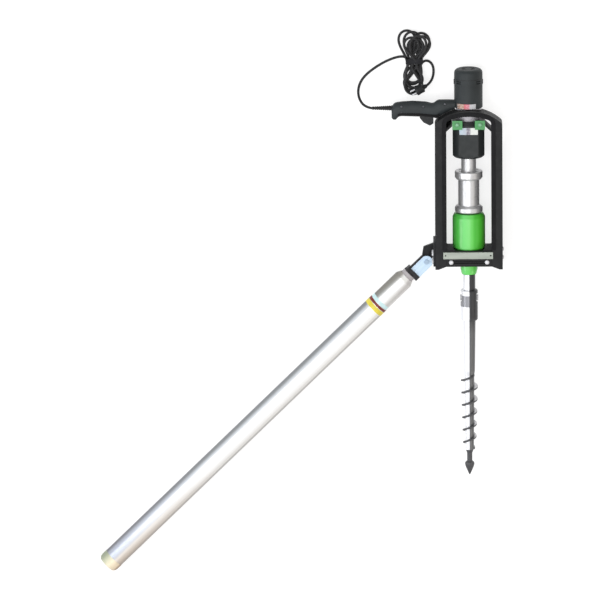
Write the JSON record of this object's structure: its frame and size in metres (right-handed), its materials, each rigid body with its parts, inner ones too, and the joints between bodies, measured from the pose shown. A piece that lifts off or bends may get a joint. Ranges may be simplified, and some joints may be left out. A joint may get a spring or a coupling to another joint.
{
  "type": "soil auger",
  "caption": "Motor-driven soil auger in a steel frame, with two planetary stages, a handle and mains lead, and a hinged telescopic torque arm.",
  "frame": {"origin": "middle of the back of the base channel, on the surface that the machine lies on, under the auger's axis", "axes": "+Y along the auger's axis towards the motor, +X to the right seen from the front with the motor up, +Z out of the front, up from the surface"},
  "size_m": [1.2364, 1.6895, 0.114],
  "materials": {
    "motor_plastic": "fine-textured moulding",
    "black_plastic": "matte",
    "label_plate": "satin printed plate",
    "gearbox_black": "satin",
    "frame_black": "satin powder coat",
    "green_paint": "gloss",
    "grey_aluminium": "bead blasted",
    "turned_steel": "fine turned, polished",
    "auger_steel": "ground, with darker flights",
    "tube_steel": "polished",
    "bright_steel": "ground",
    "dark_steel": "black oxide",
    "brace_steel": "milled",
    "zinc_plate": "blue zinc plated",
    "carbon": "pressed graphite",
    "copper_winding": "lacquered copper",
    "dark_red": "matte",
    "cream_plastic": "moulded",
    "cord_rubber": "matte"
  },
  "bodies": {
    "frame": {"motor_housing": "motor_plastic", "motor_cap": "motor_plastic", "nameplates": "label_plate", "stator": "dark_steel", "carbon_brushes": "carbon", "ball_bearings": "bright_steel", "gearbox_housing": "gearbox_black", "neck_collar": "grey_aluminium", "first_ring_gear": "dark_steel", "reduction_housing": "green_paint", "second_ring_gear": "dark_steel", "left_channel": "frame_black", "right_channel": "frame_black", "top_arch": "frame_black", "base_channel": "frame_black", "front_brace": "brace_steel", "frame_bolts": "zinc_plate", "diagonal_stays": "frame_black", "clamp_ring": "frame_black", "clamp_lugs": "green_paint", "arm_bracket": "frame_black", "handle_front_shell": "motor_plastic", "handle_rear_shell": "motor_plastic", "switch_body": "black_plastic", "cord_guard": "cord_rubber", "cord_tube": "cord_rubber", "cord_hank": "cord_rubber", "plug": "cord_rubber"},
    "rotor": {"rotor_shaft": "bright_steel", "armature": "copper_winding", "cooling_fan": "black_plastic"},
    "spindle": {"first_carrier": "dark_steel", "spindle": "turned_steel", "upper_flange": "turned_steel", "coupling_tube": "turned_steel", "lower_flange": "turned_steel", "coupling_screws": "dark_steel", "input_shaft": "bright_steel"},
    "auger": {"output_carrier": "bright_steel", "auger_coupling": "turned_steel", "coupling_bolt": "bright_steel", "auger_shaft": "auger_steel", "auger_flight": "auger_steel", "auger_tip": "auger_steel"},
    "arm": {"clevis_cheeks": "zinc_plate", "clevis_pin": "zinc_plate", "knuckle_block": "frame_black", "inner_tube": "tube_steel"},
    "tube": {"tube_collar": "dark_red", "outer_tube": "tube_steel", "arm_end_cap": "cream_plastic"},
    "trigger": {"trigger": "black_plastic"},
    "lock_button": {"lock_button": "black_plastic"},
    "planet_1a": {"first_planet_a": "bright_steel"},
    "planet_1b": {"first_planet_b": "bright_steel"},
    "planet_1c": {"first_planet_c": "bright_steel"},
    "planet_2a": {"second_planet_a": "bright_steel"},
    "planet_2b": {"second_planet_b": "bright_steel"},
    "planet_2c": {"second_planet_c": "bright_steel"}
  },
  "joints": [
    {"name": "spindle_spin", "type": "hinge", "parent": "frame", "child": "spindle", "pos_m": [0, 0.25, 0.054], "axis": [0, 1, 0], "continuous": true},
    {"name": "rotor_spin", "type": "hinge", "parent": "frame", "child": "rotor", "pos_m": [0, 0.5, 0.054], "axis": [0, 1, 0], "continuous": true},
    {"name": "auger_spin", "type": "hinge", "parent": "frame", "child": "auger", "pos_m": [0, -0.1, 0.054], "axis": [0, 1, 0], "continuous": true},
    {"name": "planet_1a_spin", "type": "hinge", "parent": "spindle", "child": "planet_1a", "pos_m": [0, 0.405, 0.0315], "axis": [0, 1, 0], "continuous": true},
    {"name": "planet_1b_spin", "type": "hinge", "parent": "spindle", "child": "planet_1b", "pos_m": [-0.01949, 0.405, 0.06525], "axis": [0, 1, 0], "continuous": true},
    {"name": "planet_1c_spin", "type": "hinge", "parent": "spindle", "child": "planet_1c", "pos_m": [0.01949, 0.405, 0.06525], "axis": [0, 1, 0], "continuous": true},
    {"name": "planet_2a_spin", "type": "hinge", "parent": "auger", "child": "planet_2a", "pos_m": [0, 0.106, 0.0315], "axis": [0, 1, 0], "continuous": true},
    {"name": "planet_2b_spin", "type": "hinge", "parent": "auger", "child": "planet_2b", "pos_m": [-0.01949, 0.106, 0.06525], "axis": [0, 1, 0], "continuous": true},
    {"name": "planet_2c_spin", "type": "hinge", "parent": "auger", "child": "planet_2c", "pos_m": [0.01949, 0.106, 0.06525], "axis": [0, 1, 0], "continuous": true},
    {"name": "arm_swing", "type": "hinge", "parent": "frame", "child": "arm", "pos_m": [-0.13, -0.0124, 0.0325], "axis": [0, 0, 1], "range_deg": [-60, 44]},
    {"name": "tube_slide", "type": "slide", "parent": "arm", "child": "tube", "axis": [-0.7157, -0.6984, 0], "range_m": [0, 0.15]},
    {"name": "trigger_pull", "type": "slide", "parent": "frame", "child": "trigger", "axis": [0, 1, 0], "range_m": [0, 0.006], "stiffness_N_per_m": 600, "springref_m": -0.004},
    {"name": "lock_push", "type": "slide", "parent": "frame", "child": "lock_button", "axis": [0, 0, 1], "range_m": [0, 0.0025], "stiffness_N_per_m": 400, "springref_m": -0.003}
  ],
  "couplings": [
    {"joint": "rotor_spin", "follows": "spindle_spin", "ratio": 5},
    {"joint": "auger_spin", "follows": "spindle_spin", "ratio": 0.2},
    {"joint": "planet_1a_spin", "follows": "spindle_spin", "ratio": -2.6667},
    {"joint": "planet_1b_spin", "follows": "spindle_spin", "ratio": -2.6667},
    {"joint": "planet_1c_spin", "follows": "spindle_spin", "ratio": -2.6667},
    {"joint": "planet_2a_spin", "follows": "spindle_spin", "ratio": -0.53333},
    {"joint": "planet_2b_spin", "follows": "spindle_spin", "ratio": -0.53333},
    {"joint": "planet_2c_spin", "follows": "spindle_spin", "ratio": -0.53333}
  ]
}
